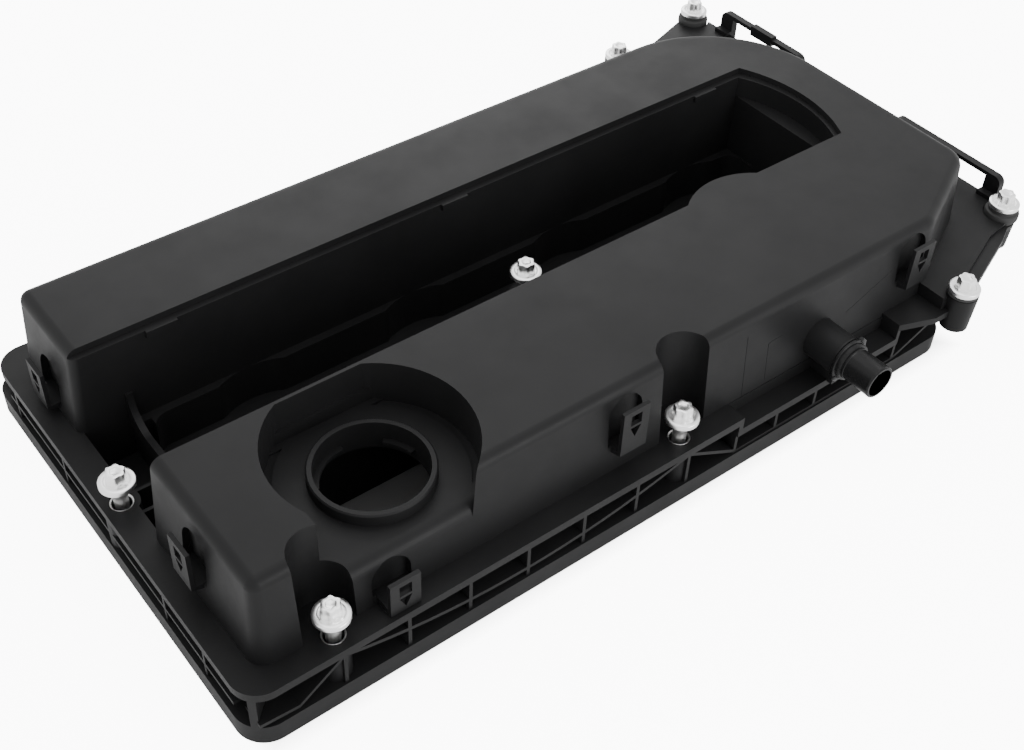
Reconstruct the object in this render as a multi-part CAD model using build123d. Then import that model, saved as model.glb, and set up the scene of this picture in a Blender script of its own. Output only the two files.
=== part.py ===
"""Moulded valve cover of a four cylinder engine, with its seals, bolts, sleeves and baffles.

Every piece is laid out with X running from the open end to the timing end, Y from the filler side
to the back, and Z up from the face that the gasket stands on. The finished pieces are then moved
so that the origin is the middle of the foot of the whole part.
"""

from build123d import *
import os
from math import cos, radians, sin, tan

# Gasket rail round the foot
RAIL_LENGTH = 380.0
RAIL_WIDTH = 228.0
RAIL_TOP = 10.5
RAIL_CORNER = 13.0
RAIL_BAND = 10.0

# Seals in the foot
GASKET_PROUD = 0.6
GASKET_WIDTH = 4.0
GASKET_HEIGHT = 5.0
GASKET_INSET = 3.0
GASKET_CORNER = 10.0
DETOUR_CLEAR = 2.0
DETOUR_ROUND = 3.0

# Flange above the rail
WALL = 3.0
FLANGE_TOP = 31.5
FLANGE_PLATE = 4.0
FLANGE_CORNER = 12.0
LOW_FLANGE_START = 240.0
LOW_FLANGE_TOP = 25.0
EDGE_SETBACK = 0.8
EAR_RADIUS = 10.5

# Hollow boxes over the two camshafts, joined at the timing end
BOX_TOP = 73.7
BOX_DRAFT = 4.5
BOX_FRONT = 10.0
BOX_NEAR = 10.0
BOX_BACK = 206.5
BOX_OVERHANG = 40.0
BOX_FAR = RAIL_LENGTH + BOX_OVERHANG
BEND_START = 365.0
BEND_DEPTH = 37.5
BOX_CORNER = 8.0
BACK_SWEEP = 68.0
BOX_EDGE = 5.0

# Back edge of the flange, behind the boxes
FLANGE_MARGIN = 11.5
FLANGE_WIDTH = BOX_BACK + FLANGE_MARGIN

# Slot between the boxes
SLOT_FRONT = 85.5
SLOT_BACK = 153.0
SLOT_END = 377.0
SLOT_STEP = 60.0
RIM_WIDTH = 3.0
RIM_DEPTH = 3.0
RIM_ARC_END = 380.0
RIM_BULGE = 9.0
BUMP_X = 301.5
BUMP_RADIUS = 35.0
BUMP_REACH = 7.5
TAB_STARTS = (46.0, 192.0, 346.5)
TAB_LENGTH = 14.0
TAB_HEIGHT = 3.0
TAB_REACH = 1.4

# Ignition trough in the floor of the slot
TROUGH_START = 39.0
TROUGH_FRONT = 89.0
TROUGH_BACK = 149.0
TROUGH_TOP = 27.4
TROUGH_FLOOR = 8.0
BITE_RADIUS = 34.0
CYLINDER_PITCH = 86.0
CYLINDERS = 4
FIRST_WELL = 88.0
WELL_Y = 119.0
WELL_BORE = 12.5
WELL_WALL = 5.0
FIN_X = 32.5
FIN_TOP = 43.0
FIN_WIDTH = 8.0
MOUTH_START = 12.5

# Filler pocket and neck
FILLER_X = 84.6
FILLER_Y = 47.4
POCKET_RADIUS = 41.5
POCKET_FLOOR = 54.0
POCKET_SILL = 60.0
POCKET_SIDE_WALL = 1.5
POCKET_ROLL = 6.0
SILL_WIDTH = 1.5
PAD_RADIUS = 38.0
PAD_HEIGHT = 1.0
NECK_RADIUS = 25.3
NECK_BORE = 22.8
NECK_TOP = 59.5
NECK_DROP = 14.0
LUG_DEPTH = 8.5
LUG_HEIGHT = 1.4
LUG_REACH = 2.4
LUGS = ((28.0, 36.0), (123.0, 66.0))

# Bolts, their sleeves and their bosses
BOLT_RADIUS = 3.0
SHANK_CLEAR = 0.9
SLEEVE_WALL = 1.0
BOSS_WALL = 2.5
SLIM_BOSS_WALL = 1.3
WASHER_RADIUS = 7.4
WASHER_HEIGHT = 2.4
HEAD_RADIUS = 4.6
HEAD_HEIGHT = 4.9
HEAD_LOBES = 6
LOBE_DEPTH = 0.9
SHANK_LENGTH = 42.2
HIGH_SHANK_END = 23.0
SIDES = 20
EDGE_BOLT_INSET = 8.5
END_BOLT_X = 8.0
END_BOLT_Y = 110.5
NEAR_BOLT_X = 41.0
MIDDLE_BOLT_X = 210.5
SLOT_BOLT_X = 215.0
SHOULDER_BOLT_X = 371.5
SHOULDER_FRONT_Y = -6.5
SHOULDER_BACK_Y = 236.5
TIMING_BOLT_CLEAR = 16.5
TIMING_BOLT_X = BOX_FAR + TIMING_BOLT_CLEAR
TIMING_FRONT_Y = 23.0
TIMING_BACK_Y = 246.0
SHOULDER_SEAT = 42.8
TIMING_SEAT = 44.6
HIGH_FOOT = 26.0
HIGH_BOSS_FOOT = 22.5
HIGH_BOSS_RADIUS = 7.5
HIGH_BOSS_TAPER = 0.9
SHOULDER_GROMMET = 1.8
TIMING_GROMMET = 8.0
GROMMET_RADIUS = 8.4
GROMMET_LIP = 1.2
GROMMET_LEVEL = 2.2
CUP_CLEAR = 0.5

# Bays in the box walls that give the bolts room
BAY_RADIUS = 11.5
BAY_BACKSET = 5.5
MIDDLE_BAY_SHIFT = 3.0
MIDDLE_BAY_EXTRA = 1.0

# Deck at the timing end
DECK_TOP = 40.0
DECK_PLATE = 5.5
DECK_EDGE = 6.5
DECK_FAR = TIMING_BOLT_X + DECK_EDGE
SHELF_START = 338.0
SHELF_END = 362.0
SHELF_TOP = 33.5
SHELF_PLATE = 3.5
SHELF_SIDE = 2.0
DECK_LIP = 4.5
DECK_LIP_DROP = 1.6

# Guide loops over the camshaft ends
LOOP_TOP = 51.5
LOOP_BAR = 2.2
LOOP_DEPTH = 4.0
LOOP_POST = 9.0
LOOP_FRONT_START = 32.0
LOOP_FRONT_END = 101.0
LOOP_BACK_START = 168.0
LOOP_BACK_END = 230.0
LOOP_PAD = 16.0
LOOP_ROUND = 4.0

# Ribs between rail and flange
RIB = 1.6
RIB_ROOT = 1.0
RIB_PITCH = (MIDDLE_BOLT_X - NEAR_BOLT_X) / 6
WAVE_RIB = 1.8
WAVE_LOW = 16.0
WAVE_CORNER = 13.5
WAVE_FAR = 12.0
NEAR_RIB_LEVEL = 16.5
NEAR_RIBS = (34.0, 65.0, 152.0, 199.0)
FAR_RIBS = (239.0, 263.5, 288.0, 315.0, 340.0)

# Clips on the walls
CLIP_WIDTH = 13.5
CLIP_PLATE = 1.8
CLIP_STANDOFF = 3.4
CLIP_WINDOW = 5.5
CLIP_NOTCH = 5.5
CLIP_BORDER = 2.6
CLIP_FOOT = 7.0
NICHE_SIDE = 2.0
NICHE_DEPTH = 4.0
FRONT_CLIPS = ((68.5, 32.0, 17.0, 3.4), (181.5, 43.5, 23.0, 0.0), (351.5, 47.0, 22.0, 0.0))
NEAR_CLIPS = ((54.0, 42.5, 19.5), (177.5, 35.0, 18.5))

# Breather
BREATHER_X = 294.3
BREATHER_Z = 41.6
BREATHER_END = -25.0
BREATHER_RADIUS = 7.8
BREATHER_BORE = 6.0
SOCKET_RADIUS = 9.3
SOCKET_END = -5.0
COLLAR_RADIUS = 10.2
COLLAR_WIDTH = 2.4
SPIGOT_SEAT = 9.5
SPIGOT_ROOT = 7.2

# Oil separator baffles
BAFFLE_PLATE = 2.0
BAFFLE_TOP = 34.0
BAFFLE_FIT = 0.2
BAFFLE_START = 135.0
BAFFLE_END = 350.0
BAFFLE_RIB_STEP = 45.0
DRAIN_LENGTH = 12.0
DRAIN_WIDTH = 3.0

TALL = 2 * BOX_TOP
SMALL = 0.01
FLANGE_BOTTOM = FLANGE_TOP - FLANGE_PLATE
SLEEVE_BORE = BOLT_RADIUS + SHANK_CLEAR
SLEEVE_RADIUS = SLEEVE_BORE + SLEEVE_WALL
BOSS_RADIUS = SLEEVE_RADIUS + BOSS_WALL
WELLS = [(FIRST_WELL + CYLINDER_PITCH * i, WELL_Y) for i in range(CYLINDERS)]
DRAFT_SLOPE = tan(radians(BOX_DRAFT))

RAIL_BOLTS = {
    "near_end": (END_BOLT_X, END_BOLT_Y),
    "front_near": (NEAR_BOLT_X, EDGE_BOLT_INSET),
    "front_middle": (MIDDLE_BOLT_X, EDGE_BOLT_INSET),
    "back_near": (NEAR_BOLT_X, RAIL_WIDTH - EDGE_BOLT_INSET),
    "back_middle": (MIDDLE_BOLT_X, RAIL_WIDTH - EDGE_BOLT_INSET),
}
SLOT_BOLTS = {"slot": (SLOT_BOLT_X, WELL_Y)}
SHOULDER_BOLTS = {
    "front_shoulder": (SHOULDER_BOLT_X, SHOULDER_FRONT_Y),
    "back_shoulder": (SHOULDER_BOLT_X, SHOULDER_BACK_Y),
}
TIMING_BOLTS = {
    "front_timing": (TIMING_BOLT_X, TIMING_FRONT_Y),
    "back_timing": (TIMING_BOLT_X, TIMING_BACK_Y),
}


def slab(face, low, high):
    """Raise a flat outline from one level to another."""
    return extrude(Pos(0, 0, low) * face, amount=high - low, dir=(0, 0, 1))


def block(x0, x1, y0, y1, z0, z1):
    """Plain block between two corners."""
    return Pos((x0 + x1) / 2, (y0 + y1) / 2, (z0 + z1) / 2) * Box(x1 - x0, y1 - y0, z1 - z0)


def post(x, y, radius, low, high):
    """Upright round post."""
    return Pos(x, y, (low + high) / 2) * Cylinder(radius, high - low)


def plain_post(x, y, radius, low, high):
    """Upright post with few flat sides, for pieces that repeat or stay out of sight."""
    return slab(Pos(x, y) * RegularPolygon(radius, SIDES), low, high)


def pipe_along_y(x, z, radius, start, end):
    """Round bar lying along Y."""
    return Pos(x, (start + end) / 2, z) * Rot(90, 0, 0) * Cylinder(radius, abs(end - start))


def round_rectangle(x0, x1, y0, y1, corner):
    """Flat rectangle with round corners."""
    return Pos((x0 + x1) / 2, (y0 + y1) / 2) * RectangleRounded(x1 - x0, y1 - y0, corner)


def outline(points, rounds):
    """Flat outline through corners, each with its own round."""
    return make_face(FilletPolyline(*points, radius=rounds, close=True))


def bays():
    """Centre, radius and side of the bays that clear the four edge bolts of the boxes."""
    front = EDGE_BOLT_INSET + BAY_BACKSET
    back = RAIL_WIDTH - EDGE_BOLT_INSET - BAY_BACKSET
    middle = MIDDLE_BOLT_X + MIDDLE_BAY_SHIFT
    wide = BAY_RADIUS + MIDDLE_BAY_EXTRA
    return [
        (NEAR_BOLT_X, front, BAY_RADIUS, -1),
        (middle, front, wide, -1),
        (NEAR_BOLT_X, back, BAY_RADIUS, 1),
        (MIDDLE_BOLT_X, back, BAY_RADIUS, 1),
    ]


def bay_cut(x, y, radius, side, grow, low):
    """Upright channel for a bolt, open to the outside of the wall."""
    reach = y + side * TALL
    channel = post(x, y, radius + grow, low, TALL)
    sides = block(x - radius - grow, x + radius + grow, min(y, reach), max(y, reach), low, TALL)
    return channel + sides


def box_plan():
    """Foot of the two boxes and the bridge that joins them, with the slot still filled."""
    points = [
        (BOX_NEAR, BOX_FRONT),
        (BEND_START, BOX_FRONT),
        (BOX_FAR, BEND_DEPTH),
        (BOX_FAR, BOX_BACK),
        (BOX_NEAR, BOX_BACK),
    ]
    return outline(points, [BOX_CORNER, BACK_SWEEP / 4, BOX_CORNER * 2, BACK_SWEEP, BOX_CORNER])


def rim_plan(inset):
    """Outline of the upper slot, whose far end is a shallow arc."""
    back = SLOT_BACK + RIM_WIDTH - inset
    middle = (SLOT_FRONT + back) / 2
    far = RIM_ARC_END - inset
    line = Polyline((-TALL, back), (-TALL, SLOT_FRONT), (far, SLOT_FRONT))
    arc = ThreePointArc((far, SLOT_FRONT), (far + RIM_BULGE, middle), (far, back))
    top = Line((far, back), (-TALL, back))
    return make_face([*line.edges(), arc, top])


def trough_plan():
    """Outline of the ignition trough, which bulges round each spark plug well."""
    plan = round_rectangle(TROUGH_START, SLOT_END - 1, TROUGH_FRONT, TROUGH_BACK, BOX_CORNER)
    for x, y in WELLS:
        plan += Pos(x, y) * Circle(BITE_RADIUS)
    band = Pos((TROUGH_START + SLOT_END) / 2, WELL_Y)
    return plan & band * Rectangle(SLOT_END - TROUGH_START, 2 * BITE_RADIUS)


def slot_cut():
    """Everything that is open from above between the boxes."""
    bump = post(BUMP_X, SLOT_FRONT + BUMP_REACH - BUMP_RADIUS, BUMP_RADIUS, FLANGE_TOP, TALL)
    rim = slab(rim_plan(0), BOX_TOP - RIM_DEPTH, TALL)
    upper = slab(rim_plan(RIM_WIDTH), SLOT_STEP, TALL)
    lower = block(-TALL, SLOT_END, SLOT_FRONT, SLOT_BACK, FLANGE_TOP, SLOT_STEP)
    mouth = block(MOUTH_START, SLOT_END, SLOT_FRONT, SLOT_BACK, TROUGH_TOP, FLANGE_TOP)
    top = BOX_TOP - RIM_DEPTH
    for x in TAB_STARTS:
        upper -= block(x, x + TAB_LENGTH, SLOT_BACK - TAB_REACH, SLOT_BACK + 1, top - TAB_HEIGHT, top)
    return (rim + upper + lower - bump) + mouth + slab(trough_plan(), TROUGH_FLOOR, TROUGH_TOP)


def mouth_cut():
    """Ribbed pockets in the floor at the open end of the slot."""
    first = block(MOUTH_START, FIN_X, TROUGH_FRONT, SLOT_BACK, TROUGH_FLOOR, FLANGE_TOP)
    first += block(FIN_X + WALL, TROUGH_START + 1, TROUGH_FRONT, TROUGH_BACK, TROUGH_FLOOR, FLANGE_TOP)
    for offset in (-BOSS_RADIUS + RIB, BOSS_RADIUS - RIB):
        y = END_BOLT_Y + offset
        first -= block(MOUTH_START, TROUGH_START, y - RIB / 2, y + RIB / 2, 0, TROUGH_TOP)
    return first


def end_fin():
    """Web across the near end of the trough, which curls up against the back box."""
    x0 = FIN_X
    foot = SLOT_BACK - 2 * FIN_WIDTH
    rise = FIN_TOP - TROUGH_TOP
    curve = ThreePointArc(
        (x0, foot, TROUGH_TOP),
        (x0, SLOT_BACK - FIN_WIDTH * 0.62, TROUGH_TOP + rise * 0.28),
        (x0, SLOT_BACK - 1, FIN_TOP),
    )
    rest = Polyline(
        (x0, SLOT_BACK - 1, FIN_TOP),
        (x0, SLOT_BACK + 1, FIN_TOP),
        (x0, SLOT_BACK + 1, TROUGH_TOP - WALL),
        (x0, foot, TROUGH_TOP - WALL),
        (x0, foot, TROUGH_TOP),
    )
    return extrude(make_face([curve, *rest.edges()]), amount=WALL, dir=(1, 0, 0))


def core_guard():
    """Solid that holds the slot, kept out of the hollow inside of the boxes."""
    far = RIM_ARC_END + RIM_BULGE + WALL
    guard = block(0, far, SLOT_FRONT - WALL, SLOT_BACK + RIM_WIDTH, 0, TALL)
    guard -= block(SLOT_END + WALL, far, SLOT_FRONT, SLOT_BACK, 0, SLOT_STEP - WALL)
    low = BOX_TOP - RIM_DEPTH - WALL
    return guard + block(0, far + WALL, SLOT_FRONT - WALL, SLOT_BACK + RIM_WIDTH + WALL, low, TALL)


def pocket_cut(grow, low):
    """Round pocket round the filler, open to the front and to the bay of the near bolt."""
    pocket = post(FILLER_X, FILLER_Y, POCKET_RADIUS + grow, low, TALL)
    corner = NEAR_BOLT_X + BAY_BACKSET - grow
    step = block(corner, FILLER_X, -TALL, FILLER_Y - POCKET_RADIUS / 3, low, TALL)
    return pocket + step


def pocket_shape():
    """The pocket as it is cut: its slot side stays as a wall with a sill."""
    side = SLOT_FRONT - POCKET_SIDE_WALL
    wall = block(-TALL, TALL * 4, side, TALL * 4, 0, TALL)
    sill = block(-TALL, TALL * 4, side - SILL_WIDTH, TALL * 4, 0, POCKET_SILL)
    return pocket_cut(0, POCKET_FLOOR) - wall - sill + pocket_roll()


def pocket_roll():
    """What is taken off so that the floor of the pocket rolls over into the front wall."""
    low = POCKET_FLOOR - POCKET_ROLL
    start = BOX_FRONT + DRAFT_SLOPE * (low - FLANGE_BOTTOM) + POCKET_ROLL
    bar = Pos(FILLER_X, start, low) * Rot(0, 90, 0) * Cylinder(POCKET_ROLL, TALL * 2)
    edge = block(0, TALL * 2, 0, start, low, POCKET_FLOOR) - bar
    return edge & pocket_cut(0, low)


def pad_groove():
    """Shallow groove that sets off the round pad in the floor of the pocket from its wall."""
    low = POCKET_FLOOR - PAD_HEIGHT
    groove = post(FILLER_X, FILLER_Y, POCKET_RADIUS, low, POCKET_FLOOR + 1)
    groove -= post(FILLER_X, FILLER_Y, PAD_RADIUS, low, POCKET_FLOOR + 1)
    back = block(-TALL, TALL * 2, FILLER_Y - NECK_RADIUS, SLOT_FRONT - 2 * WALL, low, POCKET_FLOOR + 1)
    return groove & back


def filler_neck():
    """Neck with two locking lugs inside."""
    low = NECK_TOP - NECK_DROP
    neck = post(FILLER_X, FILLER_Y, NECK_RADIUS, low, NECK_TOP)
    return chamfer(neck.edges().group_by(Axis.Z)[-1], 0.6)


def filler_bore():
    """Bore of the neck, with the two lugs left standing."""
    bore = post(FILLER_X, FILLER_Y, NECK_BORE, 0, TALL)
    level = NECK_TOP - LUG_DEPTH
    for turn, spread in LUGS:
        ring = post(0, 0, NECK_BORE + 1, level - LUG_HEIGHT, level)
        ring -= post(0, 0, NECK_BORE - LUG_REACH, level - LUG_HEIGHT, level)
        reach = 2 * NECK_BORE
        half = radians(spread / 2)
        wedge = make_face(Polyline(
            (0, 0), (reach, -reach * tan(half)), (reach, reach * tan(half)), (0, 0)))
        lug = ring & slab(wedge, 0, TALL)
        bore -= Pos(FILLER_X, FILLER_Y, 0) * Rot(0, 0, turn) * lug
    return bore


def box_outside():
    """Outer form of the boxes, drafted, with round upper edges."""
    body = extrude(Pos(0, 0, FLANGE_BOTTOM) * box_plan(), amount=BOX_TOP - FLANGE_BOTTOM, taper=BOX_DRAFT)
    return fillet(body.faces().sort_by(Axis.Z)[-1].edges(), BOX_EDGE)


def box_inside():
    """Hollow inside of the boxes before the walls round slot, bays and pocket are kept."""
    plan = offset(box_plan(), -WALL)
    height = BOX_TOP - WALL - HIGH_FOOT
    return extrude(Pos(0, 0, HIGH_FOOT) * plan, amount=height, taper=BOX_DRAFT)


def lower_plan(inset):
    """Outline of the walls between rail and flange, flush with the rail at the timing end."""
    edge = RAIL_BAND + inset
    corner = BOX_CORNER - inset / 2
    far = RAIL_LENGTH - EDGE_SETBACK - inset
    return round_rectangle(edge, far, edge, RAIL_WIDTH - edge, corner)


def hollow():
    """All of the space inside, open from below."""
    inside = box_inside() + slab(lower_plan(WALL), 0, FLANGE_BOTTOM)
    inside -= core_guard()
    for x, y, radius, side in bays():
        inside -= bay_cut(x, y, radius, side, WALL, FLANGE_BOTTOM)
    inside -= pocket_cut(WALL, POCKET_FLOOR - WALL)
    inside -= niches(WALL)
    inside -= post(FILLER_X, FILLER_Y, NECK_RADIUS, NECK_TOP - NECK_DROP, TALL)
    return inside


def core_hollow():
    """Space under the floor of the trough, round the feet of the wells."""
    top = TROUGH_FLOOR - WALL
    plan = round_rectangle(
        TROUGH_START, SLOT_END - WALL, SLOT_FRONT + WALL, SLOT_BACK - WALL, BOX_CORNER)
    space = slab(plan, 0, top)
    for x, y in WELLS:
        space -= plain_post(x, y, WELL_BORE + WELL_WALL + SMALL * 20, 0, top)
    half = GASKET_WIDTH
    space -= block(TROUGH_START, SLOT_END, WELL_Y - half, WELL_Y + half, 0, top)
    return space - plain_post(SLOT_BOLT_X, WELL_Y, BOSS_RADIUS, 0, top)


def gasket_plan():
    """Region inside the rim seal, which runs round the inside of each rail bolt."""
    inset = GASKET_INSET
    rim = round_rectangle(inset, RAIL_LENGTH - inset, inset, RAIL_WIDTH - inset, GASKET_CORNER)
    detours = Sketch() + [Pos(x, y) * Circle(BOSS_RADIUS + DETOUR_CLEAR) for x, y in RAIL_BOLTS.values()]
    plan = rim - detours
    bends = [v for v in plan.vertices() if detours.distance_to(v) < SMALL]
    return fillet(bends, DETOUR_ROUND)


def rail():
    """Rail that holds the rim seal."""
    plan = round_rectangle(0, RAIL_LENGTH, 0, RAIL_WIDTH, RAIL_CORNER)
    inner = offset(gasket_plan(), -(RAIL_BAND - GASKET_INSET + 0.5))
    return slab(plan - inner, GASKET_PROUD, RAIL_TOP)


def rim_seal(low, high):
    """Rubber rim seal, also used to cut its groove."""
    plan = gasket_plan()
    return slab(plan - offset(plan, -GASKET_WIDTH), low, high)


def well_seal(low, high):
    """Rubber rings round the spark plug wells with the strip that joins them."""
    ring = GASKET_WIDTH / 2
    middle = WELL_BORE + WELL_WALL / 2
    strip = block(WELLS[0][0], WELLS[-1][0], WELL_Y - ring / 2, WELL_Y + ring / 2, low, high)
    detour = BOSS_RADIUS + DETOUR_CLEAR
    seal = strip + plain_post(SLOT_BOLT_X, WELL_Y, detour, low, high)
    seal -= plain_post(SLOT_BOLT_X, WELL_Y, detour - ring, low, high)
    for x, y in WELLS:
        seal += plain_post(x, y, middle + ring / 2, low, high)
        seal -= plain_post(x, y, middle - ring / 2, low, high)
    return seal


def flange():
    """Flange plate, full height near the open end and stepped down along the front."""
    plan = round_rectangle(0, RAIL_LENGTH, 0, FLANGE_WIDTH, FLANGE_CORNER)
    back = RAIL_WIDTH - EDGE_BOLT_INSET
    for x in (NEAR_BOLT_X, MIDDLE_BOLT_X):
        plan += Pos(x, back) * Circle(EAR_RADIUS)
    step = Pos((LOW_FLANGE_START + RAIL_LENGTH) / 2, 0)
    plan -= step * Rectangle(RAIL_LENGTH - LOW_FLANGE_START, 2 * BOX_FRONT)
    plate = slab(plan, FLANGE_BOTTOM, FLANGE_TOP)
    low = LOW_FLANGE_TOP - FLANGE_PLATE
    plate += block(LOW_FLANGE_START, SHELF_START, 0, BOX_FRONT + 1, low, LOW_FLANGE_TOP)
    plate += block(LOW_FLANGE_START - RIB, LOW_FLANGE_START + RIB / 2, 0, BOX_FRONT + 1, low, FLANGE_TOP)
    return plate


def arc_rib(x0, x1, level0, dip, level1, y0, y1):
    """Rib that hangs as a shallow arc between two levels."""
    middle = (x0 + x1) / 2
    top = ThreePointArc((x0, y0, level0), (middle, y0, dip), (x1, y0, level1))
    down = WAVE_RIB
    foot = ThreePointArc((x1, y0, level1 - down), (middle, y0, dip - down), (x0, y0, level0 - down))
    ends = [
        Line((x1, y0, level1), (x1, y0, level1 - down)),
        Line((x0, y0, level0 - down), (x0, y0, level0)),
    ]
    return extrude(make_face([top, ends[0], foot, ends[1]]), amount=y1 - y0, dir=(0, 1, 0))


def straight_rib(x0, x1, level0, level1, y0, y1):
    """Rib that runs straight from one level to another."""
    down = WAVE_RIB
    path = Polyline(
        (x0, y0, level0), (x1, y0, level1), (x1, y0, level1 - down), (x0, y0, level0 - down),
        (x0, y0, level0))
    return extrude(make_face(path), amount=y1 - y0, dir=(0, 1, 0))


def wave_ribs(y0, y1):
    """Rib that snakes between rail and flange from bolt to bolt."""
    high = FLANGE_BOTTOM + 0.5
    ribs = straight_rib(RAIL_CORNER / 3, RAIL_CORNER * 1.6, WAVE_CORNER + 1.5, WAVE_CORNER, y0, y1)
    ribs += straight_rib(RAIL_CORNER * 1.6, NEAR_BOLT_X, WAVE_CORNER, high, y0, y1)
    ribs += arc_rib(NEAR_BOLT_X, MIDDLE_BOLT_X, high, WAVE_LOW, high, y0, y1)
    ribs += straight_rib(MIDDLE_BOLT_X, LOW_FLANGE_START, high, WAVE_FAR, y0, y1)
    ribs += straight_rib(LOW_FLANGE_START, FAR_RIBS[-1], WAVE_FAR, WAVE_FAR, y0, y1)
    ribs += straight_rib(FAR_RIBS[-1], SHELF_END + RAIL_BAND, WAVE_FAR, FLANGE_BOTTOM - RIB, y0, y1)
    return ribs


def edge_ribs():
    """Upright and wavy ribs between rail and flange on three sides."""
    y0 = EDGE_SETBACK
    y1 = RAIL_BAND + RIB_ROOT
    back0 = RAIL_WIDTH - RAIL_BAND - RIB_ROOT
    back1 = RAIL_WIDTH - EDGE_SETBACK
    low = RAIL_TOP - RIB_ROOT
    high = FLANGE_BOTTOM + RIB_ROOT
    edge = FLANGE_WIDTH - RIB_ROOT
    ribs = wave_ribs(y0, y1) + wave_ribs(back0, back1)
    stations = [NEAR_BOLT_X + RIB_PITCH * i for i in range(1, 6)]
    for x in stations:
        ribs += block(x - RIB / 2, x + RIB / 2, y0, y1, low, high)
        ribs += block(x - RIB / 2, x + RIB / 2, edge, FLANGE_WIDTH, low, high)
    for x in (NEAR_BOLT_X, MIDDLE_BOLT_X):
        ribs += block(x - RIB / 2, x + RIB / 2, y0, 2 * RIB, low, high)
    for x in FAR_RIBS:
        ribs += block(x - RIB / 2, x + RIB / 2, y0, y1, low, LOW_FLANGE_TOP - 1)
        ribs += block(x - RIB / 2, x + RIB / 2, edge, FLANGE_WIDTH, low, high)
    for y in NEAR_RIBS:
        ribs += block(y0, y1, y - RIB / 2, y + RIB / 2, low, high)
    ribs += block(y0, y1, RAIL_CORNER, FLANGE_WIDTH - FLANGE_CORNER, NEAR_RIB_LEVEL, NEAR_RIB_LEVEL + WAVE_RIB)
    corner = RAIL_CORNER / 3
    for y in (corner, FLANGE_WIDTH - corner):
        turn = Pos(corner, y, 0) * Rot(0, 0, 45 if y == corner else -45)
        reach = RAIL_BAND
        rib = block(-1, reach, -RIB, RIB, low, high)
        ribs += turn * rib
    return ribs


def deck_plan(lip):
    """Outline of the deck that overhangs the timing chest; its front edge may carry a lip."""
    points = [
        (SHELF_END, SHOULDER_FRONT_Y + WALL),
        (SHOULDER_BOLT_X + HIGH_BOSS_RADIUS + lip, SHOULDER_FRONT_Y + 2 * WALL - lip),
        (BOX_FAR - WALL + lip, TIMING_FRONT_Y - 3 * WALL - lip),
        (TIMING_BOLT_X, TIMING_FRONT_Y - 2 * WALL),
        (DECK_FAR, TIMING_FRONT_Y + 2 * WALL),
        (DECK_FAR, TIMING_BACK_Y - HIGH_BOSS_RADIUS),
        (TIMING_BOLT_X, TIMING_BACK_Y + 2 * WALL),
        (SLOT_END + BACK_SWEEP / 3, SHOULDER_BACK_Y + WALL),
        (SHOULDER_BOLT_X, SHOULDER_BACK_Y + WALL),
        (SHELF_END, FLANGE_WIDTH),
    ]
    return outline(points, WALL)


def high_boss(x, y, top):
    """Tapered boss of one of the four high bolts."""
    height = top - HIGH_BOSS_FOOT
    boss = Cone(HIGH_BOSS_RADIUS - HIGH_BOSS_TAPER, HIGH_BOSS_RADIUS, height)
    return Pos(x, y, HIGH_BOSS_FOOT + height / 2) * boss


def deck():
    """Deck with its shelf and the bosses of the four high bolts."""
    low = DECK_TOP - DECK_PLATE
    plate = slab(deck_plan(0), low, DECK_TOP) + slab(deck_plan(DECK_LIP), low, DECK_TOP - DECK_LIP_DROP)
    shelf_points = [
        (SHELF_START, 0),
        (SHELF_END - 2 * WALL, SHOULDER_FRONT_Y),
        (SHELF_END + WALL, SHOULDER_FRONT_Y),
        (SHELF_END + WALL, FLANGE_WIDTH),
        (SHELF_START, FLANGE_WIDTH),
    ]
    shelf = slab(make_face(Polyline(*shelf_points, close=True)), SHELF_TOP - SHELF_PLATE, SHELF_TOP)
    foot = LOW_FLANGE_TOP - FLANGE_PLATE
    side = block(SHELF_START, SHELF_START + SHELF_SIDE, 0, BOX_FRONT + 1, foot, SHELF_TOP)
    step = block(SHELF_END, SHELF_END + WALL, SHOULDER_FRONT_Y + WALL, FLANGE_WIDTH, SHELF_TOP - 1, DECK_TOP)
    edge = RAIL_LENGTH - EDGE_SETBACK
    chest = block(edge - WALL, edge, RAIL_BAND / 2, FLANGE_WIDTH, FLANGE_BOTTOM, DECK_TOP)
    whole = plate + shelf + side + step + chest
    for x, y in TIMING_BOLTS.values():
        seat = TIMING_SEAT - TIMING_GROMMET
        whole -= post(x, y, GROMMET_RADIUS + CUP_CLEAR, seat, TALL)
        whole += high_boss(x, y, seat)
    for x, y in SHOULDER_BOLTS.values():
        whole += high_boss(x, y, SHOULDER_SEAT - SHOULDER_GROMMET)
    return whole


def deck_floor():
    """Floor of the chamber over the timing end, inside the box walls."""
    inner = RAIL_LENGTH - EDGE_SETBACK - WALL
    low = DECK_TOP - DECK_PLATE
    area = block(inner, BOX_FAR, BOX_FRONT, BOX_BACK, FLANGE_BOTTOM, DECK_TOP)
    floor = slab(offset(box_plan(), -WALL / 2), low, DECK_TOP) & area
    sill = block(inner, inner + WALL, BOX_FRONT + 1, BOX_BACK - 1, FLANGE_BOTTOM, low + 1)
    return floor + sill


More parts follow.
